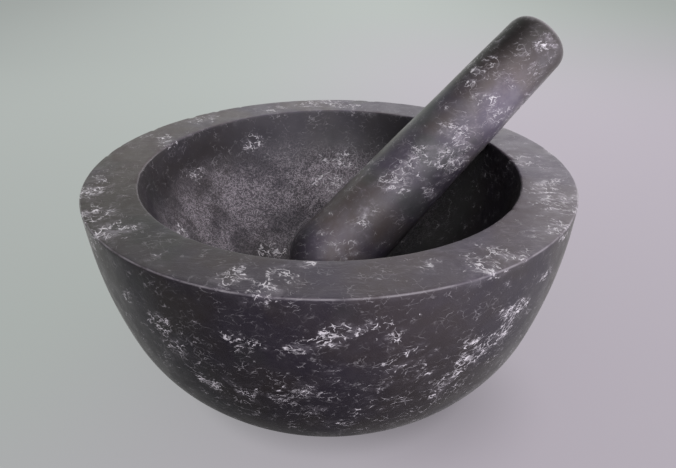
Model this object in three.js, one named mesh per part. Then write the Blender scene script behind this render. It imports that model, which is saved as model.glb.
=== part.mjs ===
import * as THREE from 'three';

// A smooth stone molcajete: a legless mortar with a broad flat rim, and its loose pestle (tejolote).
// Millimetres, +Z up. The origin is the centre of the mortar's foot, on the surface it stands on.
// The pestle rests with its ball end on the bottom of the hollow and leans over the rim towards +X,
// so the plane Y = 0 is a plane of symmetry.

const radians = THREE.MathUtils.degToRad;

// Mortar
const mortarHeight = 98;
const rimRadius = 100;
const rimWidth = 21.3;
const hollowDepth = 65;
const footRadius = 45;
const wallDraft = radians(1);
const shoulderRadius = 184;
const shoulderSweep = radians(16.45);
const outerEdgeRounding = 0.8;
const innerEdgeRounding = 1;
const footEdgeRounding = 1.5;

// Pestle
const ballRadius = 19.1;
const handleRadius = 14.8;
const taperLength = 132.5;
const domeHeight = 9.5;
const domeBluntness = 2.75;

// The pestle's clearance to the hollow and to the rim's inner edge
const restGap = 0.4;

// Facets
const mortarSides = 72;
const pestleSides = 40;

const darkStone = { color: 0x3b393b, roughness: 0.5, metalness: 0 };

// Points of an arc in the (radius, height) half-plane, from one direction of its centre to another
function arc(centre, radius, from, to, steps) {
  const points = [];
  for (let i = 0; i <= steps; i += 1) {
    const angle = from + ((to - from) * i) / steps;
    points.push(pointOnCircle(centre, radius, angle));
  }
  return points;
}

function pointOnCircle(centre, radius, angle) {
  return new THREE.Vector2(
    centre.x + radius * Math.cos(angle),
    centre.y + radius * Math.sin(angle),
  );
}

// The hollow is a spherical cap that meets the rim's top at the rim's inner radius
function hollowSphere() {
  const mouthRadius = rimRadius - rimWidth;
  const radius = (mouthRadius ** 2 + hollowDepth ** 2) / (2 * hollowDepth);
  return { radius, centre: new THREE.Vector2(0, mortarHeight - hollowDepth + radius) };
}

// Centre of the small round between the rim's flat top and the hollow
function innerEdgeCentre() {
  const { radius, centre } = hollowSphere();
  const height = mortarHeight - innerEdgeRounding;
  const reach = radius + innerEdgeRounding;
  return new THREE.Vector2(Math.sqrt(reach ** 2 - (centre.y - height) ** 2), height);
}

// The shoulder is the upper, flatter stretch of the outer wall, with its draft at the rim
function shoulderArc() {
  const centre = new THREE.Vector2(
    rimRadius - shoulderRadius * Math.cos(wallDraft),
    mortarHeight - outerEdgeRounding + shoulderRadius * Math.sin(wallDraft),
  );
  return { centre, top: -wallDraft, bottom: -wallDraft - shoulderSweep };
}

// The belly carries on from the shoulder without a kink and ends at the foot's edge
function bellyCircle(shoulder) {
  const start = pointOnCircle(shoulder.centre, shoulderRadius, shoulder.bottom);
  const outward = pointOnCircle(new THREE.Vector2(), 1, shoulder.bottom);
  const fromFoot = start.clone().sub(new THREE.Vector2(footRadius, 0));
  const radius = fromFoot.lengthSq() / (2 * fromFoot.dot(outward));
  return { radius, centre: start.clone().addScaledVector(outward, -radius) };
}

function outerWall() {
  const shoulder = shoulderArc();
  const belly = bellyCircle(shoulder);
  const inset = belly.radius - footEdgeRounding;
  const rise = belly.centre.y - footEdgeRounding;
  const edge = new THREE.Vector2(belly.centre.x + Math.sqrt(inset ** 2 - rise ** 2), footEdgeRounding);
  const edgeEnd = edge.clone().sub(belly.centre).angle() - 2 * Math.PI;
  return [
    ...arc(edge, footEdgeRounding, -Math.PI / 2, edgeEnd, 3),
    ...arc(belly.centre, belly.radius, edgeEnd, shoulder.bottom, 10).slice(1),
    ...arc(shoulder.centre, shoulderRadius, shoulder.bottom, shoulder.top, 5).slice(1),
  ];
}

function rimEdges() {
  const outer = new THREE.Vector2(rimRadius - outerEdgeRounding, mortarHeight - outerEdgeRounding);
  const inner = innerEdgeCentre();
  const towardsHollow = hollowSphere().centre.clone().sub(inner).angle();
  return [
    ...arc(outer, outerEdgeRounding, 0, Math.PI / 2, 3).slice(1),
    ...arc(inner, innerEdgeRounding, Math.PI / 2, towardsHollow, 3),
  ];
}

function hollow() {
  const { radius, centre } = hollowSphere();
  const mouth = innerEdgeCentre().sub(centre).angle() - 2 * Math.PI;
  return arc(centre, radius, mouth, -Math.PI / 2, 12).slice(1, -1);
}

function mortarGeometry() {
  const profile = [
    new THREE.Vector2(0, 0),
    ...outerWall(),
    ...rimEdges(),
    ...hollow(),
    new THREE.Vector2(0, mortarHeight - hollowDepth),
  ];
  return new THREE.LatheGeometry(profile, mortarSides).rotateX(Math.PI / 2);
}

// The pestle stands on its own axis here, with the centre of its ball end at the origin
function pestleGeometry() {
  const taper = Math.atan((ballRadius - handleRadius) / taperLength);
  const profile = arc(new THREE.Vector2(), ballRadius, -Math.PI / 2, taper, 9);
  profile[0].x = 0;
  profile.push(...dome());
  return new THREE.LatheGeometry(profile, pestleSides).rotateX(Math.PI / 2);
}

// The handle's blunt end is a superellipse
function dome() {
  const steps = 6;
  const points = [];
  for (let i = 0; i < steps; i += 1) {
    const angle = (i / steps) * (Math.PI / 2);
    const radius = handleRadius * Math.cos(angle) ** (2 / domeBluntness);
    const height = domeHeight * Math.sin(angle) ** (2 / domeBluntness);
    points.push(new THREE.Vector2(radius, taperLength + height));
  }
  points.push(new THREE.Vector2(0, taperLength + domeHeight));
  return points;
}

function ballHeight() {
  return mortarHeight - hollowDepth + restGap + ballRadius;
}

// Elevation of the pestle's axis when its tapered side clears the rim's inner edge by the gap
function leanElevation() {
  const slope = (handleRadius - ballRadius) / taperLength;
  const toEdge = innerEdgeCentre().sub(new THREE.Vector2(0, ballHeight()));
  const sideRadius = ballRadius / Math.hypot(1, slope);
  const clearance = sideRadius + restGap + innerEdgeRounding;
  return toEdge.angle() + Math.atan(slope) + Math.asin(clearance / toEdge.length());
}

function stonePiece(name, geometry) {
  const piece = new THREE.Mesh(geometry, new THREE.MeshStandardMaterial(darkStone));
  piece.name = name;
  return piece;
}

const molcajete = new THREE.Group();

const mortar = stonePiece('mortar', mortarGeometry());
molcajete.add(mortar);

const pestle = stonePiece('pestle', pestleGeometry());
pestle.position.set(0, 0, ballHeight());
pestle.rotation.y = Math.PI / 2 - leanElevation();
molcajete.add(pestle);

export default molcajete;
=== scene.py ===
"""A smooth stone molcajete: a legless mortar with a broad flat rim, and its loose pestle (tejolote)."""

from math import asin, atan, atan2, cos, hypot, pi, radians, sin, sqrt

import bpy
import numpy as np
from mathutils import Matrix, Vector, noise


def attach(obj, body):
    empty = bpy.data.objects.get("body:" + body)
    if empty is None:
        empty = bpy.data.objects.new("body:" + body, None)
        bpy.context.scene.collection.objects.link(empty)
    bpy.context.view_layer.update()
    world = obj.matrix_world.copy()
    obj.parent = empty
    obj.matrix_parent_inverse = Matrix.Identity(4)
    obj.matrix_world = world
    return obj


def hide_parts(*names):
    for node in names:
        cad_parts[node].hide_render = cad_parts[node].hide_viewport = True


MM = 0.001

# The CAD solids' driving dimensions, in millimetres
MORTAR_HEIGHT = 98
RIM_RADIUS = 100
RIM_WIDTH = 21.3
HOLLOW_DEPTH = 65
FOOT_RADIUS = 45
WALL_DRAFT = radians(1)
SHOULDER_RADIUS = 184
SHOULDER_SWEEP = radians(16.45)
OUTER_EDGE_ROUNDING = 0.8
INNER_EDGE_ROUNDING = 1
FOOT_EDGE_ROUNDING = 1.5
BALL_RADIUS = 19.1
HANDLE_RADIUS = 14.8
TAPER_LENGTH = 132.5
DOME_HEIGHT = 9.5
DOME_BLUNTNESS = 2.75
REST_GAP = 0.4
MOUTH_RADIUS = RIM_RADIUS - RIM_WIDTH
HOLLOW_FLOOR = MORTAR_HEIGHT - HOLLOW_DEPTH

# How finely the pieces are turned
MORTAR_SIDES = 512
PESTLE_SIDES = 192
DOME_STEPS = 24

# How deep the stone is chipped, worn and dented, in millimetres
OUTER_CHIP_DEPTH = 0.3
INNER_CHIP_DEPTH = 0.2
WALL_WAVE_DEPTH = 0.1
HOLLOW_DENT_DEPTH = 0.18
HOLLOW_PIT_DEPTH = 0.08
PESTLE_DENT_DEPTH = 0.12

# The camera, from the rim's centre
CAMERA_DISTANCE = 0.25702
CAMERA_AZIMUTH = radians(-24)
CAMERA_ELEVATION = radians(21.869)
CAMERA_HEADING = radians(-24.818)
CAMERA_PITCH = radians(28.427)
CAMERA_ROLL = radians(-0.071)
CAMERA_LENS = 31.93
CAMERA_SENSOR = 36

# How far the front of the scene is turned from -Y. The bedding and the floor's light lie square to it.
FRONT_TURN = radians(24)

# The stone's gloss: the polished stone's least and greatest roughness, and what grinding and veins add
STONE_IOR = 1.55
POLISHED_ROUGHNESS = (0.37, 0.47)
GROUND_ROUGHER = 0.25
VEIN_ROUGHER = 0.12

# The depths that the bump shows, in millimetres
GRAIN_DEPTH = 0.05
GROUND_PIT_DEPTH = 0.35

# The stone's colours
VIOLET_STONE = (0.047, 0.038, 0.057, 1)
BROWN_STONE = (0.059, 0.046, 0.048, 1)
GREEN_STONE = (0.045, 0.048, 0.046, 1)
MOTTLED_STONE = (0.088, 0.077, 0.092, 1)
BEDDING_STREAK = (0.22, 0.205, 0.225, 1)
VEIN_HAZE = (0.33, 0.31, 0.34, 1)
STONE_DUST = (0.31, 0.285, 0.305, 1)
# The pale rim edge: wear, and partly a painted highlight along the edge
WORN_EDGE_AND_HIGHLIGHT = (0.30, 0.29, 0.30, 1)
WHITE_VEIN = (0.7, 0.69, 0.7, 1)

# Where the hollow is ground most, on its lit side, so that the pale dust there is partly painted light and
# the shaded side is left dark: the azimuth, in degrees, and the millimetres below the mouth
GROUND_AND_LIT_AZIMUTH = 103
GROUND_DEPTHS = (12, 34)

# How far from the hollow's lowest point the painted shade round the ball reaches, in millimetres: the stone
# there is painted darker and the dust is left off
BALL_SHADE = (18, 60)
BALL_SHADE_STRENGTH = 0.8

# The strokes in the veins, in millimetres
STROKE_LENGTH = 8
STROKE_WIDTH = 0.14
THIN_STROKE_LENGTH = 9
THIN_STROKE_WIDTH = 0.09

# The directions of the strokes, as turns about X, Y and Z, and a shift for each
SCRATCH_TURNS = [
    ((0.3, 0.5, 0.4), 3),
    ((1.1, -0.6, 2.0), 13),
    ((-0.5, 0.9, -1.2), 23),
    ((0.1, 0.2, 1.1), 33),
]

# The surround's soft lights: azimuth from +X and elevation in degrees, strength, tint
AMBIENT = 0.055
LIGHT_SHARPNESS = 9
LIGHTS = [
    (-85, 59, 0.95, (1.04, 1.0, 0.96)),
    (-117, 36, 1.88, (1.02, 0.98, 1.08)),
    (20, 32, 1.4, (1.05, 0.96, 1.05)),
    (-65, 25, 0.87, (1.0, 0.95, 1.09)),
    (-97, 8, 0.95, (1.03, 0.95, 1.04)),
    (40, 5, 1.5, (1.0, 1.0, 1.02)),
    (95, 16, 0.36, (0.9, 1.07, 0.97)),
    (-45, -2, 2.1, (1.0, 0.96, 1.04)),
    (93, -5, 0.58, (1.02, 1.02, 0.9)),
    (-77, -18, 0.65, (1.09, 0.91, 1.13)),
    (113, -32, 0.48, (1.0, 1.0, 1.0)),
    (28, -40, 0.6, (1.03, 0.98, 1.0)),
]

# The soft shade that the mortar throws on the floor beside its foot, in metres
SHADE_CENTRE = (0.025, -0.045, 0.0)
SHADE_REACH = 0.06
SHADE_STRENGTH = 0.37

# The floor, in metres, which fades out to the backdrop that the camera sees beyond it
FLOOR_REACH = 20.0
FLOOR_FADE = (1.2, 3.6)
BACKDROP = (0.41, 0.43, 0.42, 1)

# The floor's two tints, the share of it that takes light, and what that share adds to its own glow
FLOOR_GREEN = (0.96, 1.03, 0.99, 1)
FLOOR_VIOLET = (1.035, 0.95, 1.065, 1)
FLOOR_DIFFUSE = 0.025
FLOOR_DIFFUSE_LIGHT = 0.015

# Where the veins gather on the sides that the camera sees, in degrees and millimetres.
# On the wall and in the hollow: azimuth, height, reach, strength.
WALL_VEINS = [
    (-172, 90, 9, 1.0),
    (-157, 82, 7, 0.7),
    (-148, 76, 7, 1.05),
    (-146, 67, 7, 1.0),
    (-140, 91, 4, 0.7),
    (-139, 54, 9, 0.8),
    (-132, 56, 8, 0.7),
    (-129, 79, 7, 0.9),
    (-122, 58, 9, 0.85),
    (-118, 48, 7, 0.5),
    (-104, 50, 10, 0.35),
    (-97, 62, 9, 0.5),
    (-120, 79, 5, 1.1),
    (-116, 82, 5, 1.2),
    (-114, 68, 6, 0.5),
    (-112, 86, 5, 2.3),
    (-107, 89, 4, 1.2),
    (-112, 38, 10, 0.5),
    (-106, 62, 8, 0.45),
    (-103, 85, 9, 0.6),
    (-101, 70, 9, 0.45),
    (-98, 76, 7, 0.5),
    (-91, 49, 5, 0.8),
    (-89, 56, 6, 1.1),
    (-85, 64, 7, 1.5),
    (-86, 72, 5, 1.2),
    (-79, 68, 7, 1.4),
    (-76, 77, 8, 1.55),
    (-67, 85, 6, 0.9),
]
HOLLOW_VEINS = [
    (61, 73, 9, 1.2),
    (66, 64, 9, 1.1),
    (98, 86, 5, 2.2),
    (118, 43, 8, 1.2),
    (129, 81, 7, 0.9),
    (158, 67, 8, 1.15),
]
# On the rim: azimuth, distance from the axis, reach, strength.
RIM_VEINS = [
    (-175, 97, 9, 1.0),
    (-166, 96, 9, 1.0),
    (-150, 93, 3, 0.9),
    (-131, 93, 8, 0.8),
    (-126, 97, 7, 0.95),
    (-124, 88, 7, 0.8),
    (-119, 82, 3, 1.0),
    (-91, 86, 5, 0.6),
    (-84, 95, 8, 0.9),
    (-79, 93, 8, 0.8),
    (-60, 97, 10, 0.8),
    (-49, 95, 12, 0.8),
    (-39, 88, 12, 0.7),
    (-21, 83, 10, 0.7),
    (87, 90, 10, 0.6),
    (111, 90, 12, 0.6),
    (134, 87, 12, 0.6),
    (165, 94, 8, 0.7),
    (172, 97, 8, 0.9),
]
# On the pestle: azimuth round it, distance up its axis, reach, strength, times a share for all.
PESTLE_VEIN_SHARE = 0.74
PESTLE_VEINS = [
    (-161, 3, 5, 0.8),
    (-122, 9, 7, 0.9),
    (-135, 24, 6, 0.85),
    (-143, 43, 6, 1.1),
    (-132, 49, 7, 1.1),
    (-88, 52, 7, 0.8),
    (-139, 60, 7, 1.0),
    (-92, 69, 10, 1.1),
    (-114, 79, 10, 1.0),
    (-79, 96, 9, 0.7),
    (-120, 98, 9, 0.8),
    (-165, 102, 7, 0.9),
    (-160, 109, 6, 0.8),
    (-84, 124, 7, 0.9),
    (-117, 129, 8, 0.9),
]

# Painted light and shade on the pestle, paler along a lit band on its front and darker on its upper side and
# below the band: azimuth round it, distance up its axis, reach, change of tone.
PESTLE_PAINTED_LIGHT = [
    (175, -4, 12, -1.3),
    (-142, 6, 13, 1.7),
    (-32, 26, 16, -0.8),
    (-162, 45, 12, 0.25),
    (-80, 57, 16, -0.4),
    (-108, 78, 16, 0.25),
    (-102, 104, 16, 1.4),
    (172, 100, 16, -0.35),
    (175, 126, 28, -1.25),
]


# ---------------------------------------------------------------- profiles: (radius, height), in millimetres


def on_circle(centre, radius, angle):
    return (centre[0] + radius * cos(angle), centre[1] + radius * sin(angle))


def arc(centre, radius, start, end, steps):
    """Points on a circle, with that many steps between them."""
    turns = [start + (end - start) * i / steps for i in range(steps + 1)]
    return [on_circle(centre, radius, angle) for angle in turns]


def line(start, end, steps):
    """Points on a straight line, with that many steps between them."""
    shares = [i / steps for i in range(steps + 1)]
    return [tuple(a + (b - a) * share for a, b in zip(start, end)) for share in shares]


def hollow_sphere():
    radius = (MOUTH_RADIUS**2 + HOLLOW_DEPTH**2) / (2 * HOLLOW_DEPTH)
    return radius, (0, HOLLOW_FLOOR + radius)


def inner_edge_centre():
    radius, centre = hollow_sphere()
    height = MORTAR_HEIGHT - INNER_EDGE_ROUNDING
    reach = radius + INNER_EDGE_ROUNDING
    return (sqrt(reach**2 - (centre[1] - height) ** 2), height)


def outer_wall():
    centre = (
        RIM_RADIUS - SHOULDER_RADIUS * cos(WALL_DRAFT),
        MORTAR_HEIGHT - OUTER_EDGE_ROUNDING + SHOULDER_RADIUS * sin(WALL_DRAFT),
    )
    top, bottom = -WALL_DRAFT, -WALL_DRAFT - SHOULDER_SWEEP
    start = on_circle(centre, SHOULDER_RADIUS, bottom)
    outward = (cos(bottom), sin(bottom))
    chord = (start[0] - FOOT_RADIUS, start[1])
    belly_radius = (chord[0] ** 2 + chord[1] ** 2) / (2 * (chord[0] * outward[0] + chord[1] * outward[1]))
    belly = (start[0] - belly_radius * outward[0], start[1] - belly_radius * outward[1])
    inset = belly_radius - FOOT_EDGE_ROUNDING
    rise = belly[1] - FOOT_EDGE_ROUNDING
    edge = (belly[0] + sqrt(inset**2 - rise**2), FOOT_EDGE_ROUNDING)
    edge_end = atan2(edge[1] - belly[1], edge[0] - belly[0])
    return [
        *arc(edge, FOOT_EDGE_ROUNDING, -pi / 2, edge_end, 5),
        *arc(belly, belly_radius, edge_end, bottom, 58)[1:],
        *arc(centre, SHOULDER_RADIUS, bottom, top, 30)[1:],
    ]


def mortar_profile():
    """From the foot's centre round the outside, over the rim and down to the middle of the hollow."""
    radius, centre = hollow_sphere()
    outer = (RIM_RADIUS - OUTER_EDGE_ROUNDING, MORTAR_HEIGHT - OUTER_EDGE_ROUNDING)
    inner = inner_edge_centre()
    towards_hollow = atan2(centre[1] - inner[1], centre[0] - inner[0])
    mouth = atan2(inner[1] - centre[1], inner[0] - centre[0])
    wall = outer_wall()
    return [
        *line((0, 0), wall[0], 8)[:-1],
        *wall,
        *arc(outer, OUTER_EDGE_ROUNDING, 0, pi / 2, 6)[1:],
        *line((outer[0], MORTAR_HEIGHT), (inner[0], MORTAR_HEIGHT), 14)[1:-1],
        *arc(inner, INNER_EDGE_ROUNDING, pi / 2, towards_hollow, 6),
        *arc(centre, radius, mouth, -pi / 2, 62)[1:-1],
        (0, HOLLOW_FLOOR),
    ]


def pestle_profile():
    """From the ball end's tip to the handle's tip, with the ball's centre at height 0."""
    taper = atan((BALL_RADIUS - HANDLE_RADIUS) / TAPER_LENGTH)
    points = arc((0, 0), BALL_RADIUS, -pi / 2, taper, 34)
    points += line(points[-1], (HANDLE_RADIUS, TAPER_LENGTH), 84)[1:]
    power = 2 / DOME_BLUNTNESS
    for i in range(1, DOME_STEPS):
        angle = i / DOME_STEPS * pi / 2
        dome = TAPER_LENGTH + DOME_HEIGHT * sin(angle) ** power
        points.append((HANDLE_RADIUS * cos(angle) ** power, dome))
    points[0] = (0, -BALL_RADIUS)
    points.append((0, TAPER_LENGTH + DOME_HEIGHT))
    return points


def ball_height():
    return HOLLOW_FLOOR + REST_GAP + BALL_RADIUS


def lean_elevation():
    slope = (HANDLE_RADIUS - BALL_RADIUS) / TAPER_LENGTH
    edge = inner_edge_centre()
    to_edge = (edge[0], edge[1] - ball_height())
    clearance = BALL_RADIUS / hypot(1, slope) + REST_GAP + INNER_EDGE_ROUNDING
    return atan2(to_edge[1], to_edge[0]) + atan(slope) + asin(clearance / hypot(*to_edge))


# ---------------------------------------------------------------- meshes


def turned_mesh(name, profile, sides):
    """A closed lathed mesh, in metres, round +Z: quads, with a fan of triangles at each pole."""
    rings = np.array(profile[1:-1])
    turns = np.arange(sides) * 2 * pi / sides
    x = rings[:, :1] * np.cos(turns)
    y = rings[:, :1] * np.sin(turns)
    z = np.broadcast_to(rings[:, 1:], x.shape)
    grid = np.stack([x, y, z], axis=-1).reshape(-1, 3)
    points = np.vstack([grid, [0, 0, profile[0][1]], [0, 0, profile[-1][1]]]) * MM
    bottom, top = len(grid), len(grid) + 1
    last = (len(rings) - 1) * sides
    faces = []
    for i in range(sides):
        j = (i + 1) % sides
        faces.append((bottom, j, i))
        for start in range(0, last, sides):
            faces.append((start + i, start + j, start + sides + j, start + sides + i))
        faces.append((top, last + i, last + j))
    mesh = bpy.data.meshes.new(name)
    mesh.from_pydata(points.tolist(), [], faces)
    mesh.shade_smooth()
    return mesh


def add_piece(name, mesh, material, body):
    mesh.materials.append(material)
    piece = bpy.data.objects.new(name, mesh)
    bpy.context.scene.collection.objects.link(piece)
    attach(piece, body)
    return piece


# ---------------------------------------------------------------- shader nodes


class Shader:
    """Adds nodes to the tree of a material or of the surround. Patterns are sized in millimetres."""

    def __init__(self, owner):
        owner.use_nodes = True
        self.tree = owner.node_tree
        self.tree.nodes.clear()

    def add(self, kind, **settings):
        made = self.tree.nodes.new(kind)
        for key, value in settings.items():
            setattr(made, key, value)
        return made

    def feed(self, socket, value):
        if isinstance(value, bpy.types.NodeSocket):
            self.tree.links.new(value, socket)
        else:
            socket.default_value = value

    def math(self, operation, a, b=0.0):
        made = self.add("ShaderNodeMath", operation=operation)
        self.feed(made.inputs[0], a)
        self.feed(made.inputs[1], b)
        return made.outputs[0]

    def chain(self, operation, first, *others):
        for other in others:
            first = self.math(operation, first, other)
        return first

    def product(self, *values):
        return self.chain("MULTIPLY", *values)

    def total(self, *values):
        return self.chain("ADD", *values)

    def largest(self, *values):
        return self.chain("MAXIMUM", *values)

    def vector(self, operation, a, b=None, scale=None, output="Vector"):
        made = self.add("ShaderNodeVectorMath", operation=operation)
        self.feed(made.inputs[0], a)
        if b is not None:
            self.feed(made.inputs[1], b)
        if scale is not None:
            self.feed(made.inputs["Scale"], scale)
        return made.outputs[output]

    def turned(self, where, angle):
        """Coordinates turned about Z by an angle, or about X, Y and Z by three."""
        three = isinstance(angle, tuple)
        made = self.add("ShaderNodeVectorRotate", rotation_type="EULER_XYZ" if three else "Z_AXIS")
        self.feed(made.inputs["Vector"], where)
        self.feed(made.inputs["Rotation" if three else "Angle"], angle)
        return made.outputs[0]

    def attribute(self, name, output="Fac"):
        return self.add("ShaderNodeAttribute", attribute_name=name).outputs[output]

    def object_place(self):
        """The place on the object, in metres."""
        return self.add("ShaderNodeTexCoord").outputs["Object"]

    def noise(self, where, size, detail=2.0, roughness=0.5, shift=0.0, output="Fac"):
        """Noise with features about size wide. The shift makes it unlike the other noises."""
        made = self.add("ShaderNodeTexNoise", noise_dimensions="3D")
        self.feed(made.inputs["Vector"], self.vector("ADD", where, (shift, shift * 1.7, -shift)))
        self.feed(made.inputs["Scale"], 1 / size)
        self.feed(made.inputs["Detail"], detail)
        self.feed(made.inputs["Roughness"], roughness)
        return made.outputs[output]

    def cells(self, where, size, feature, shift):
        """How far it is to the nearest cell's centre, for F1, or to the nearest edge between cells."""
        made = self.add("ShaderNodeTexVoronoi", voronoi_dimensions="3D", feature=feature)
        self.feed(made.inputs["Vector"], self.vector("ADD", where, (shift, -shift, shift * 1.3)))
        self.feed(made.inputs["Scale"], 1 / size)
        return made.outputs["Distance"]

    def warp(self, where, size, amount, detail=2.0, shift=0.0):
        """Coordinates pushed about by noise, by up to about half of amount."""
        spread = self.noise(where, size, detail, shift=shift, output="Color")
        pushed = self.vector("SUBTRACT", spread, (0.5, 0.5, 0.5))
        return self.vector("ADD", where, self.vector("SCALE", pushed, scale=amount))

    def step(self, value, low, high, to_low=0.0, to_high=1.0):
        """Smooth step from to_low to to_high as value goes from low to high."""
        made = self.add("ShaderNodeMapRange", interpolation_type="SMOOTHSTEP", clamp=True)
        self.feed(made.inputs["Value"], value)
        self.feed(made.inputs["From Min"], low)
        self.feed(made.inputs["From Max"], high)
        self.feed(made.inputs["To Min"], to_low)
        self.feed(made.inputs["To Max"], to_high)
        return made.outputs["Result"]

    def line_along(self, value, level, width):
        """1 where value is within width of level, falling to 0 at twice that."""
        away = self.math("ABSOLUTE", self.math("SUBTRACT", value, level))
        return self.step(away, width, width * 2, 1.0, 0.0)

    def mix(self, share, a, b):
        made = self.add("ShaderNodeMix", data_type="RGBA", clamp_factor=True)
        self.feed(made.inputs[0], share)
        self.feed(made.inputs[6], a)
        self.feed(made.inputs[7], b)
        return made.outputs[2]

    def finish(self, shader, kind="ShaderNodeOutputMaterial"):
        self.feed(self.add(kind).inputs["Surface"], shader.outputs[0])


def scratches(shader, where, turns, length, width):
    """Thin crooked strokes: where flat discs, scattered at several tilts, cut the surface."""
    nearest = 1.0
    for turn, shift in turns:
        flattened = shader.vector("MULTIPLY", shader.turned(where, turn), (1 / length, 1 / length, 1.0))
        nearest = shader.math("MINIMUM", nearest, shader.cells(flattened, 1.0, "F1", shift))
    return shader.step(nearest, width, width * 1.7, 1.0, 0.0)


def vein_strokes(shader, where, stray, dense):
    """Short strokes: many where the veins are dense, and thinner ones where they stray."""
    kinked = shader.warp(where, size=2.6, amount=3.6, detail=3, shift=6)
    thick = scratches(shader, kinked, SCRATCH_TURNS, STROKE_LENGTH, STROKE_WIDTH)
    thin = scratches(shader, kinked, SCRATCH_TURNS[1:], THIN_STROKE_LENGTH, THIN_STROKE_WIDTH)
    return shader.product(thick, dense), shader.product(thin, shader.largest(stray, dense))


def vein_net(shader, squashed, crumpled, stray, dense):
    """A crumpled net of fine lines, with gaps in it."""
    edges = shader.cells(crumpled, 4.4, "DISTANCE_TO_EDGE", shift=3)
    net = shader.step(edges, 0.015, 0.04, 1.0, 0.0)
    gaps = shader.noise(squashed, size=3.5, detail=2, roughness=0.6, shift=90)
    amount = shader.largest(shader.product(stray, 0.55), dense)
    return shader.product(net, shader.step(gaps, 0.42, 0.52), amount)


def vein_cores(shader, crumpled, patch):
    """Solid white blots in the middle of the strongest gatherings."""
    blots = shader.noise(crumpled, size=5.5, detail=5, roughness=0.66, shift=55)
    return shader.product(shader.step(blots, 0.55, 0.57), shader.step(patch, 0.98, 1.12))


def vein_streaks(shader, squashed, bent, patch):
    """Level hairlines that run on past the gatherings."""
    flat = shader.vector("MULTIPLY", bent, (0.1, 0.1, 1.0))
    layers = shader.noise(flat, size=3, detail=2, roughness=0.5, shift=17)
    gaps = shader.noise(squashed, size=7, detail=2, roughness=0.6, shift=18)
    streak = shader.line_along(layers, 0.5, width=0.006)
    return shader.product(streak, shader.step(gaps, 0.54, 0.6), shader.step(patch, 0.3, 0.5, 0.0, 0.7))


def veins(shader, where, gathered, strays):
    """How much white vein there is, from 0 to 1, and how much pale haze."""
    squashed = shader.vector("MULTIPLY", where, (1.0, 1.0, 1.5))
    bent = shader.warp(squashed, size=16, amount=14, shift=11)
    crumpled = shader.warp(bent, size=2.2, amount=2.4, detail=3, shift=5)

    ragged = shader.noise(crumpled, size=7, detail=4, roughness=0.66, shift=70)
    ragged = shader.product(shader.math("SUBTRACT", ragged, 0.5), 2.4)
    patch = shader.total(gathered, ragged)
    dense = shader.step(patch, 0.42, 0.66)
    loose = shader.noise(squashed, size=9, detail=4, roughness=0.65, shift=71)
    stray = shader.product(shader.step(loose, 0.44, 0.6), strays)

    lines = shader.largest(
        *vein_strokes(shader, where, stray, dense),
        vein_net(shader, squashed, crumpled, stray, dense),
        vein_cores(shader, crumpled, patch),
        vein_streaks(shader, squashed, bent, patch),
    )
    fading = shader.noise(where, size=4, detail=4, roughness=0.65, shift=61)
    smudge = shader.noise(crumpled, size=6, detail=4, roughness=0.6, shift=62)
    haze = shader.product(shader.step(smudge, 0.42, 0.68), shader.step(patch, 0.1, 0.9))
    return shader.product(lines, shader.step(fading, 0.36, 0.6, 0.2, 1.0)), haze


def bare_stone(shader, here):
    """Dark grey, clouded with violet, brown and a little green, and mottled paler."""
    cloud = shader.noise(here, size=40, detail=3, roughness=0.5, shift=150)
    green = shader.noise(here, size=30, detail=2, roughness=0.5, shift=155)
    mottle = shader.noise(here, size=6, detail=6, roughness=0.68, shift=170)
    colour = shader.mix(shader.step(cloud, 0.42, 0.58), VIOLET_STONE, BROWN_STONE)
    colour = shader.mix(shader.step(green, 0.56, 0.68, 0.0, 0.6), colour, GREEN_STONE)
    return shader.mix(shader.step(mottle, 0.38, 0.7, 0.0, 0.5), colour, MOTTLED_STONE)


def bedding(shader, here):
    """Faint pale streaks that all run one way through the block."""
    turned = shader.turned(shader.warp(here, size=12, amount=5, shift=320), FRONT_TURN)
    stretched = shader.vector("MULTIPLY", turned, (0.14, 1.0, 1.0))
    streaks = shader.noise(stretched, size=1.1, detail=5, roughness=0.62, shift=300)
    amount = shader.noise(here, size=15, detail=3, roughness=0.6, shift=310)
    return shader.product(shader.step(streaks, 0.5, 0.72), shader.step(amount, 0.42, 0.64, 0.1, 0.6))


def ground_dust(shader, here, squiggle):
    """A pale film with crooked hairlines, where the stone is ground."""
    drift = shader.noise(here, size=18, detail=4, roughness=0.6, shift=260)
    film = shader.step(drift, 0.34, 0.66, 0.04, 0.24)
    hairs = shader.line_along(squiggle, 0.5, width=0.02)
    return shader.total(film, shader.product(hairs, shader.step(drift, 0.36, 0.6, 0.24, 0.85)))


# The pale line along the rim's outer edge: partly wear, partly a painted highlight
def worn_edge_and_highlight(shader, here):
    wear = shader.noise(here, size=10, detail=4, roughness=0.65, shift=231)
    return shader.product(shader.attribute("edge"), shader.step(wear, 0.38, 0.62, 0.15, 0.8))


def stone_colour(shader, here, ground_and_painted_light, squiggle, vein, haze, haziness):
    """The bare stone, paled and darkened by the tone with its painted light and shade, under bedding, haze,
    ground dust that is partly painted light, worn edges with a painted highlight, and veins, in that order.
    """
    bedded = shader.attribute("bedded")
    haziness = shader.total(shader.product(bedded, 0.45), haziness)
    # The tone carries painted light and shade as well as the stone's own paleness
    colour = shader.vector("MULTIPLY", bare_stone(shader, here), shader.attribute("tone_and_painted_light", "Vector"))
    layers = [
        (shader.product(bedding(shader, here), bedded), BEDDING_STREAK),
        (shader.product(haze, haziness), VEIN_HAZE),
        (shader.product(ground_dust(shader, here, squiggle), ground_and_painted_light), STONE_DUST),
        (worn_edge_and_highlight(shader, here), WORN_EDGE_AND_HIGHLIGHT),
        (vein, WHITE_VEIN),
    ]
    for share, layer in layers:
        colour = shader.mix(share, colour, layer)
    return colour


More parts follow.
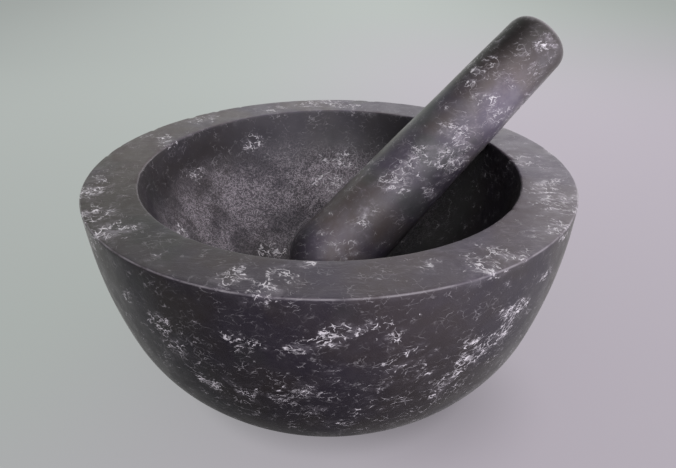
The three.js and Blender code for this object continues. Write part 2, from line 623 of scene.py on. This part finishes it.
def stone_roughness(shader, here, ground_and_painted_light, vein):
    polish = shader.noise(here, size=9, detail=4, roughness=0.6, shift=200)
    polished = shader.step(polish, 0.3, 0.7, *POLISHED_ROUGHNESS)
    return shader.total(polished, shader.product(ground_and_painted_light, GROUND_ROUGHER), shader.product(vein, VEIN_ROUGHER))


def stone_bump(shader, here, ground_and_painted_light, squiggle):
    """A fine grain, and pits where the stone is ground."""
    grain = shader.noise(here, size=0.7, detail=3, roughness=0.6, shift=230)
    pits = shader.product(ground_and_painted_light, squiggle, GROUND_PIT_DEPTH)
    bump = shader.add("ShaderNodeBump")
    bump.inputs["Distance"].default_value = MM
    shader.feed(bump.inputs["Height"], shader.total(shader.product(grain, GRAIN_DEPTH), pits))
    return bump.outputs["Normal"]


def stone(name, haziness, shift=0.0):
    """The dark veined stone. The mesh's attributes say how pale it is, with painted light and shade, and how
    ground, worn and veined it is; the ground dust and the worn edge carry painted light too.
    """
    material = bpy.data.materials.new(name)
    shader = Shader(material)
    millimetres = shader.vector("SCALE", shader.object_place(), scale=1 / MM)
    here = shader.vector("ADD", millimetres, (shift, shift, shift))
    vein, haze = veins(shader, here, shader.attribute("veined"), shader.attribute("strays"))
    ground_and_painted_light = shader.attribute("ground_and_painted_light")
    crooked = shader.warp(here, size=2.6, amount=4.0, shift=240)
    squiggle = shader.noise(crooked, size=1.8, detail=3, roughness=0.64, shift=250)

    surface = shader.add("ShaderNodeBsdfPrincipled")
    surface.inputs["IOR"].default_value = STONE_IOR
    colour = stone_colour(shader, here, ground_and_painted_light, squiggle, vein, haze, haziness)
    shader.feed(surface.inputs["Base Color"], colour)
    shader.feed(surface.inputs["Roughness"], stone_roughness(shader, here, ground_and_painted_light, vein))
    shader.feed(surface.inputs["Normal"], stone_bump(shader, here, ground_and_painted_light, squiggle))
    shader.finish(surface)
    return material


# ---------------------------------------------------------------- places on the stone


def read_places(mesh):
    """The vertices in millimetres."""
    places = np.zeros(len(mesh.vertices) * 3)
    mesh.vertices.foreach_get("co", places)
    return places.reshape(-1, 3) / MM


def write_places(mesh, places):
    mesh.vertices.foreach_set("co", (places * MM).ravel())
    mesh.update()


def write_attribute(mesh, name, values):
    attribute = mesh.attributes.new(name, "FLOAT", "POINT")
    attribute.data.foreach_set("value", values.astype(np.float32))


def write_tone_and_painted_light(mesh, tone_and_painted_light, tints):
    """The stone's paleness at each vertex, with its painted light and shade, as red, green and blue. A tint
    is a share and a colour.
    """
    colour = np.repeat(tone_and_painted_light[:, None], 3, axis=1)
    for share, tint in tints:
        colour *= 1 + share[:, None] * (np.array(tint) - 1)
    attribute = mesh.attributes.new("tone_and_painted_light", "FLOAT_VECTOR", "POINT")
    attribute.data.foreach_set("vector", colour.astype(np.float32).ravel())


def soft_step(value, low, high):
    share = np.clip((value - low) / (high - low), 0, 1)
    return share * share * (3 - 2 * share)


def peak(azimuth, centre, sharpness):
    """1 at the centre's azimuth, in degrees, and falling smoothly to both sides."""
    return np.exp(sharpness * (np.cos(azimuth - radians(centre)) - 1))


def wobble(places, size, shift=0.0):
    """Smooth noise at each place, from about -1 to 1, with features about size millimetres wide."""
    start = Vector((shift, shift, shift))
    return np.array([noise.noise(Vector(place) / size + start) for place in places])


def distance_from_axis(places):
    return np.hypot(places[:, 0], places[:, 1])


def polar(azimuth, radius, height):
    angle = radians(azimuth)
    return (radius * cos(angle), radius * sin(angle), height)


def hollow_place(azimuth, height):
    radius, centre = hollow_sphere()
    return polar(azimuth, sqrt(radius**2 - (centre[1] - height) ** 2), height)


def wall_place(azimuth, height):
    radii, heights = zip(*outer_wall())
    return polar(azimuth, float(np.interp(height, heights, radii)), height)


def rim_place(azimuth, radius):
    return polar(azimuth, radius, MORTAR_HEIGHT)


def pestle_place(azimuth, along):
    return polar(azimuth, (BALL_RADIUS + HANDLE_RADIUS) / 2, along)


def gather(places, centres, flatness=1.0):
    """How strongly the veins gather at each place."""
    strongest = np.zeros(len(places))
    for centre, reach, strength in centres:
        away = (places - centre) / (reach, reach, reach * flatness)
        strongest = np.maximum(strongest, strength * np.exp(-(away**2).sum(axis=1)))
    return strongest


def scattered(rng, count, azimuths, seconds, reaches):
    """Random gatherings for the sides that have no list. The second number is as in that list."""
    for _ in range(count):
        azimuth, second, reach = rng.uniform(*azimuths), rng.uniform(*seconds), rng.uniform(*reaches)
        yield azimuth, second, reach, rng.uniform(0.6, 1.1)


def mortar_gatherings():
    rng = np.random.default_rng(4)
    groups = [
        (wall_place, WALL_VEINS, scattered(rng, 26, (-55, 160), (30, 92), (5, 10))),
        (hollow_place, HOLLOW_VEINS, scattered(rng, 9, (-165, -35), (50, 90), (5, 9))),
        (rim_place, RIM_VEINS, scattered(rng, 5, (-15, 80), (82, 97), (7, 12))),
    ]
    for place, listed, others in groups:
        for azimuth, second, reach, strength in [*listed, *others]:
            yield place(azimuth, second), reach, strength


def pestle_gatherings():
    rng = np.random.default_rng(9)
    others = scattered(rng, 14, (-50, 180), (0, 135), (5, 10))
    for azimuth, along, reach, strength in [*PESTLE_VEINS, *others]:
        yield pestle_place(azimuth, along), reach, PESTLE_VEIN_SHARE * strength


# ---------------------------------------------------------------- the mortar


class MortarPlaces:
    """The mortar's vertices: lengths in millimetres, azimuths in radians, and shares from 0 to 1."""

    def __init__(self, mesh):
        self.places = read_places(mesh)
        self.spread = distance_from_axis(self.places)
        self.height = self.places[:, 2]
        self.azimuth = np.arctan2(self.places[:, 1], self.places[:, 0])
        self.inside = self.in_hollow(-0.6, 0.2)
        self.on_rim = soft_step(self.height, MORTAR_HEIGHT - 1.0, MORTAR_HEIGHT - 0.2)
        # Painted shade round where the ball rests, from 1 near it to 0
        self.painted_ball_shade = 1 - soft_step(self.distance(0, HOLLOW_FLOOR), *BALL_SHADE)

    def distance(self, radius, height):
        """The distance to a circle round the axis."""
        return np.hypot(self.spread - radius, self.height - height)

    def in_hollow(self, low, high):
        """0 up to low millimetres in from the mouth's edge, and 1 in the hollow from high on."""
        above_floor = soft_step(self.height, HOLLOW_FLOOR - 3, HOLLOW_FLOOR - 1)
        return soft_step(MOUTH_RADIUS - self.spread, low, high) * above_floor

    def side(self, centre, sharpness):
        """1 at the centre's azimuth, in degrees, and falling smoothly to both sides."""
        return peak(self.azimuth, centre, sharpness)


def mortar_ground_and_painted_light(at):
    """How ground the hollow is, with painted light and shade: the pale dust is kept to the lit side and off
    the shaded side, and hardly lies round the ball, under the painted shade there.
    """
    # Kept to the lit side and off the shaded side: the dust is partly painted light
    lit_side = 0.5 + 0.5 * np.cos(at.azimuth - radians(GROUND_AND_LIT_AZIMUTH))
    below_mouth = MORTAR_HEIGHT - at.height + 6 * wobble(at.places, 22)
    ground_and_painted_light = at.inside * soft_step(below_mouth, *GROUND_DEPTHS) * soft_step(lit_side, 0.25, 0.8)
    palest = gather(at.places, [(hollow_place(66, 58), 17, 1.2)])
    return ground_and_painted_light * (1 + palest) * (1 - 0.9 * at.painted_ball_shade)


def mortar_tone_and_painted_light(at):
    """How pale the wall, the rim and the hollow are, with painted light and shade: the rim painted much paler
    than the wall, palest on its far side for light glancing off it, and darker on the left; the wall darker
    towards its foot and on two sides; the hollow darker, most on its right side, which is in shade; and
    painted shade round the ball.
    """
    wall = 0.3 + 0.18 * soft_step(at.height, 40, 90) - 0.12 * at.side(-45, 10) - 0.08 * at.side(-150, 6)
    rim = 0.97 + 0.8 * at.side(82, 5) - 0.5 * at.side(-172, 4)
    hollow = 0.27 - 0.1 * at.side(0, 2)
    tone_and_painted_light = wall + (rim - wall) * at.on_rim
    tone_and_painted_light += (hollow - tone_and_painted_light) * at.inside
    # Painted shade round where the ball rests
    return tone_and_painted_light * (1 - BALL_SHADE_STRENGTH * at.painted_ball_shade)


def mortar_tints(at):
    """Warmer, greener and bluer sides, each as a share and a colour."""
    on_wall = (1 - at.inside) * (1 - at.on_rim)
    return [
        (at.side(165, 5) * at.on_rim, (1.12, 0.96, 0.9)),
        (at.side(85, 5) * at.on_rim, (0.97, 1.04, 0.98)),
        (at.side(-20, 3) * at.on_rim, (1.03, 0.97, 1.07)),
        (at.side(-165, 8) * on_wall, (0.9, 1.08, 0.95)),
        (at.side(60, 4) * at.inside, (0.95, 0.97, 1.12)),
    ]


def chips(at):
    """How deep the rim's outer and inner edges are chipped, in millimetres."""
    chip = soft_step(wobble(at.places, 5) + 0.5 * wobble(at.places, 2.2, 7), 0.3, 0.75)
    outer = OUTER_CHIP_DEPTH * chip * (1 - soft_step(at.distance(RIM_RADIUS, MORTAR_HEIGHT), 0.4, 1.9))
    inner = INNER_CHIP_DEPTH * chip * (1 - soft_step(at.distance(MOUTH_RADIUS, MORTAR_HEIGHT), 0.5, 2.0))
    return outer, inner


def wear_mortar(mesh, at):
    """Small chips along the rim's two edges, and a slightly uneven hollow and wall, all cut inwards."""
    outer_chip, inner_chip = chips(at)
    inside = at.in_hollow(0.5, 6)
    below_rim = 1 - soft_step(at.height, MORTAR_HEIGHT - 6, MORTAR_HEIGHT - 1)
    wave = WALL_WAVE_DEPTH * (1 + wobble(at.places, 24, 5))
    wave *= soft_step(at.height, 2, 10) * below_rim * (1 - inside)
    dent = HOLLOW_DENT_DEPTH * (1 + wobble(at.places, 13, 3))
    dent += HOLLOW_PIT_DEPTH * (1 + wobble(at.places, 5, 9))
    dent *= inside

    radial = at.places[:, :2] / np.maximum(at.spread, 0.001)[:, None]
    push = wave + outer_chip - inner_chip - dent * (at.spread / MOUTH_RADIUS)
    places = at.places.copy()
    places[:, :2] -= radial * push[:, None]
    places[:, 2] -= outer_chip + inner_chip + 0.5 * dent
    write_places(mesh, places)


def mortar():
    mesh = turned_mesh("mortar_stone", mortar_profile(), MORTAR_SIDES)
    at = MortarPlaces(mesh)
    low_on_wall = (1 - at.inside) * (1 - soft_step(at.height, 66, 84))
    from_edge = at.distance(RIM_RADIUS, MORTAR_HEIGHT)
    # Ground dust that is partly painted light: kept to the lit side and away from the ball
    write_attribute(mesh, "ground_and_painted_light", mortar_ground_and_painted_light(at))
    # Paleness with painted light and shade
    write_tone_and_painted_light(mesh, mortar_tone_and_painted_light(at), mortar_tints(at))
    # The rim's outer edge: worn, and painted pale as a highlight
    write_attribute(mesh, "edge", 1 - soft_step(from_edge, 0.25, 0.62))
    write_attribute(mesh, "veined", gather(at.places, mortar_gatherings(), flatness=0.6))
    write_attribute(mesh, "strays", 0.3 + 0.4 * low_on_wall)
    write_attribute(mesh, "bedded", at.on_rim * (0.55 + 0.35 * at.side(-20, 3)))
    wear_mortar(mesh, at)

    material = stone("mortar_stone", haziness=0.18)
    piece = add_piece("mortar_stone", mesh, material, "mortar_body")
    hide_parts("mortar")


# ---------------------------------------------------------------- the pestle


def pestle_tone_and_painted_light(places):
    # A random tone, and the painted light and shade listed above
    tone_and_painted_light = 1.35 + 0.12 * wobble(places, 20, 4)
    for azimuth, along, reach, change in PESTLE_PAINTED_LIGHT:
        away = places - pestle_place(azimuth, along)
        tone_and_painted_light += change * np.exp(-(away**2).sum(axis=1) / reach**2)
    return tone_and_painted_light


def pestle_tints(places):
    handle_top = soft_step(places[:, 2], 90, 125) * soft_step(-places[:, 0], 0, 10)
    return [(np.ones(len(places)), (0.98, 1.05, 0.96)), (handle_top, (1.1, 0.98, 0.9))]


def wear_pestle(mesh, places):
    """A slightly uneven side, cut inwards."""
    dent = PESTLE_DENT_DEPTH * (1 + wobble(places, 18, 2))
    shrink = dent / np.maximum(distance_from_axis(places), HANDLE_RADIUS)
    worn = places.copy()
    worn[:, :2] *= 1 - shrink[:, None]
    write_places(mesh, worn)


def lean(mesh):
    """From standing on the ball's centre to resting in the hollow and on the rim's inner edge."""
    tilt = Matrix.Rotation(pi / 2 - lean_elevation(), 4, "Y")
    mesh.transform(Matrix.Translation((0, 0, ball_height() * MM)) @ tilt)


def pestle():
    mesh = turned_mesh("pestle_stone", pestle_profile(), PESTLE_SIDES)
    places = read_places(mesh)
    for name, value in (("ground_and_painted_light", 0.0), ("edge", 0.0), ("strays", 0.5), ("bedded", 0.0)):
        write_attribute(mesh, name, np.full(len(places), value))
    write_tone_and_painted_light(mesh, pestle_tone_and_painted_light(places), pestle_tints(places))
    write_attribute(mesh, "veined", gather(places, pestle_gatherings()))
    wear_pestle(mesh, places)
    lean(mesh)

    material = stone("pestle_stone", haziness=0.62, shift=300.0)
    piece = add_piece("pestle_stone", mesh, material, "pestle_body")
    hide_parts("pestle")


# ---------------------------------------------------------------- the studio


def nearby(shader, distance, facing, strength):
    """1 on open floor, less by up to strength where something is near on the side that facing looks to."""
    near = shader.add("ShaderNodeAmbientOcclusion", samples=8)
    near.inputs["Distance"].default_value = distance
    near.inputs["Normal"].default_value = facing
    return shader.step(near.outputs["AO"], 0.0, 1.0, 1.0 - strength, 1.0)


def contact_shade(shader, here):
    """The floor's shade: close under the mortar, a little on one side, and softly beside its foot."""
    under = nearby(shader, 0.012, (0.0, 0.0, 1.0), 0.35)
    aside = nearby(shader, 0.14, (-0.85, -0.2, 0.5), 0.12)
    from_centre = shader.vector("LENGTH", shader.vector("SUBTRACT", here, SHADE_CENTRE), output="Value")
    return shader.product(under, aside, shader.step(from_centre, 0.0, SHADE_REACH, 1.0 - SHADE_STRENGTH, 1.0))


def pool_of_light(shader, across, along):
    """The floor's own light: brighter further back in the middle, and a little more on the right."""
    back = shader.step(along, -0.12, 0.6, 0.425, 0.515)
    middle = shader.math("EXPONENT", shader.product(across, across, -2.0))
    corner = shader.product(shader.math("SUBTRACT", 1.0, middle), shader.step(along, 0.0, 0.7, 0.0, 0.38))
    right = shader.step(across, -0.3, 0.3, 0.95, 1.05)
    return shader.product(back, shader.math("SUBTRACT", 1.0, corner), right)


def floor_tint(shader, across, along):
    """Faintly green on the left and further back, and faintly violet on the right."""
    edge = shader.product(shader.math("MINIMUM", along, 0.05), 0.8)
    right = shader.step(shader.math("SUBTRACT", across, edge), -0.2, 0.15)
    right = shader.product(right, shader.step(along, 0.2, 1.2, 1.0, 0.0))
    return shader.mix(right, FLOOR_GREEN, FLOOR_VIOLET)


def floor_material():
    """A pale floor: mostly its own even light, and a share that takes the soft shadows."""
    material = bpy.data.materials.new("floor")
    shader = Shader(material)
    here = shader.object_place()
    turned = shader.turned(here, FRONT_TURN)
    parts = shader.add("ShaderNodeSeparateXYZ")
    shader.feed(parts.inputs[0], turned)
    across, along = parts.outputs[0], parts.outputs[1]

    tint = floor_tint(shader, across, along)
    own = shader.math("SUBTRACT", pool_of_light(shader, across, along), FLOOR_DIFFUSE_LIGHT)
    light = shader.vector("SCALE", tint, scale=shader.product(own, contact_shade(shader, here)))
    far = shader.step(shader.vector("LENGTH", turned, output="Value"), *FLOOR_FADE)
    glow = shader.add("ShaderNodeEmission")
    shader.feed(glow.inputs["Color"], shader.mix(far, light, BACKDROP))
    matt = shader.add("ShaderNodeBsdfDiffuse")
    share = shader.step(far, 0.0, 1.0, FLOOR_DIFFUSE, 0.0)
    shader.feed(matt.inputs["Color"], shader.mix(share, (0, 0, 0, 1), tint))
    both = shader.add("ShaderNodeAddShader")
    shader.feed(both.inputs[0], glow.outputs[0])
    shader.feed(both.inputs[1], matt.outputs[0])
    shader.finish(both)
    return material


def add_floor():
    """The stone doesn't see the floor: the surround's lower lights stand for what it throws back."""
    mesh = bpy.data.meshes.new("floor")
    corners = [(x * FLOOR_REACH, y * FLOOR_REACH, 0) for x, y in ((-1, -1), (1, -1), (1, 1), (-1, 1))]
    mesh.from_pydata(corners, [], [(0, 1, 2, 3)])
    mesh.materials.append(floor_material())
    floor = bpy.data.objects.new("floor", mesh)
    bpy.context.scene.collection.objects.link(floor)
    floor.visible_diffuse = False
    floor.visible_glossy = False
    floor.visible_shadow = False


def soft_light(shader, towards, azimuth, elevation, strength, tint):
    """Brightest at its centre, and dying away smoothly round it."""
    turn, rise = radians(azimuth), radians(elevation)
    centre = (cos(turn) * cos(rise), sin(turn) * cos(rise), sin(rise))
    facing = shader.vector("DOT_PRODUCT", towards, centre, output="Value")
    fall = shader.product(shader.math("SUBTRACT", facing, 1.0), LIGHT_SHARPNESS)
    colour = tuple(strength * part for part in tint)
    return shader.vector("SCALE", colour, scale=shader.math("EXPONENT", fall))


def add_surround():
    """Soft lights painted on the surround. The camera sees the plain backdrop instead."""
    world = bpy.data.worlds.new("surround")
    shader = Shader(world)
    towards = shader.vector("NORMALIZE", shader.add("ShaderNodeTexCoord").outputs["Generated"])
    total = (AMBIENT, AMBIENT, AMBIENT)
    for light in LIGHTS:
        total = shader.vector("ADD", total, soft_light(shader, towards, *light))
    path = shader.add("ShaderNodeLightPath")
    background = shader.add("ShaderNodeBackground")
    shader.feed(background.inputs["Color"], shader.mix(path.outputs["Is Camera Ray"], total, BACKDROP))
    shader.finish(background, "ShaderNodeOutputWorld")
    bpy.context.scene.world = world
    bpy.context.scene.view_settings.view_transform = "Standard"


def add_camera():
    data = bpy.data.cameras.new("camera")
    data.lens = CAMERA_LENS
    data.sensor_width = CAMERA_SENSOR
    data.clip_start = 0.01
    data.clip_end = 50
    camera = bpy.data.objects.new("camera", data)
    level = cos(CAMERA_ELEVATION)
    back = Vector((sin(CAMERA_AZIMUTH) * level, -cos(CAMERA_AZIMUTH) * level, sin(CAMERA_ELEVATION)))
    place = Vector((0, 0, MORTAR_HEIGHT * MM)) + back * CAMERA_DISTANCE
    turn = Matrix.Rotation(CAMERA_HEADING, 4, "Z")
    tilt = Matrix.Rotation(pi / 2 - CAMERA_PITCH, 4, "X")
    roll = Matrix.Rotation(CAMERA_ROLL, 4, "Z")
    camera.matrix_world = Matrix.Translation(place) @ turn @ tilt @ roll
    bpy.context.scene.collection.objects.link(camera)
    bpy.context.scene.camera = camera


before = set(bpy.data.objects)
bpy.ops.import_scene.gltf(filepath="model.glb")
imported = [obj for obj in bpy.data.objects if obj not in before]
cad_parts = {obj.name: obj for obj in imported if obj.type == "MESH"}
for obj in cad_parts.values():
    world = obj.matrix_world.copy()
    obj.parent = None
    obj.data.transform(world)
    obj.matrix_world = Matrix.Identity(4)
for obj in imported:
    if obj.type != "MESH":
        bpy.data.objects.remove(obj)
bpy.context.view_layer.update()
mortar()
pestle()
add_floor()
add_surround()
add_camera()
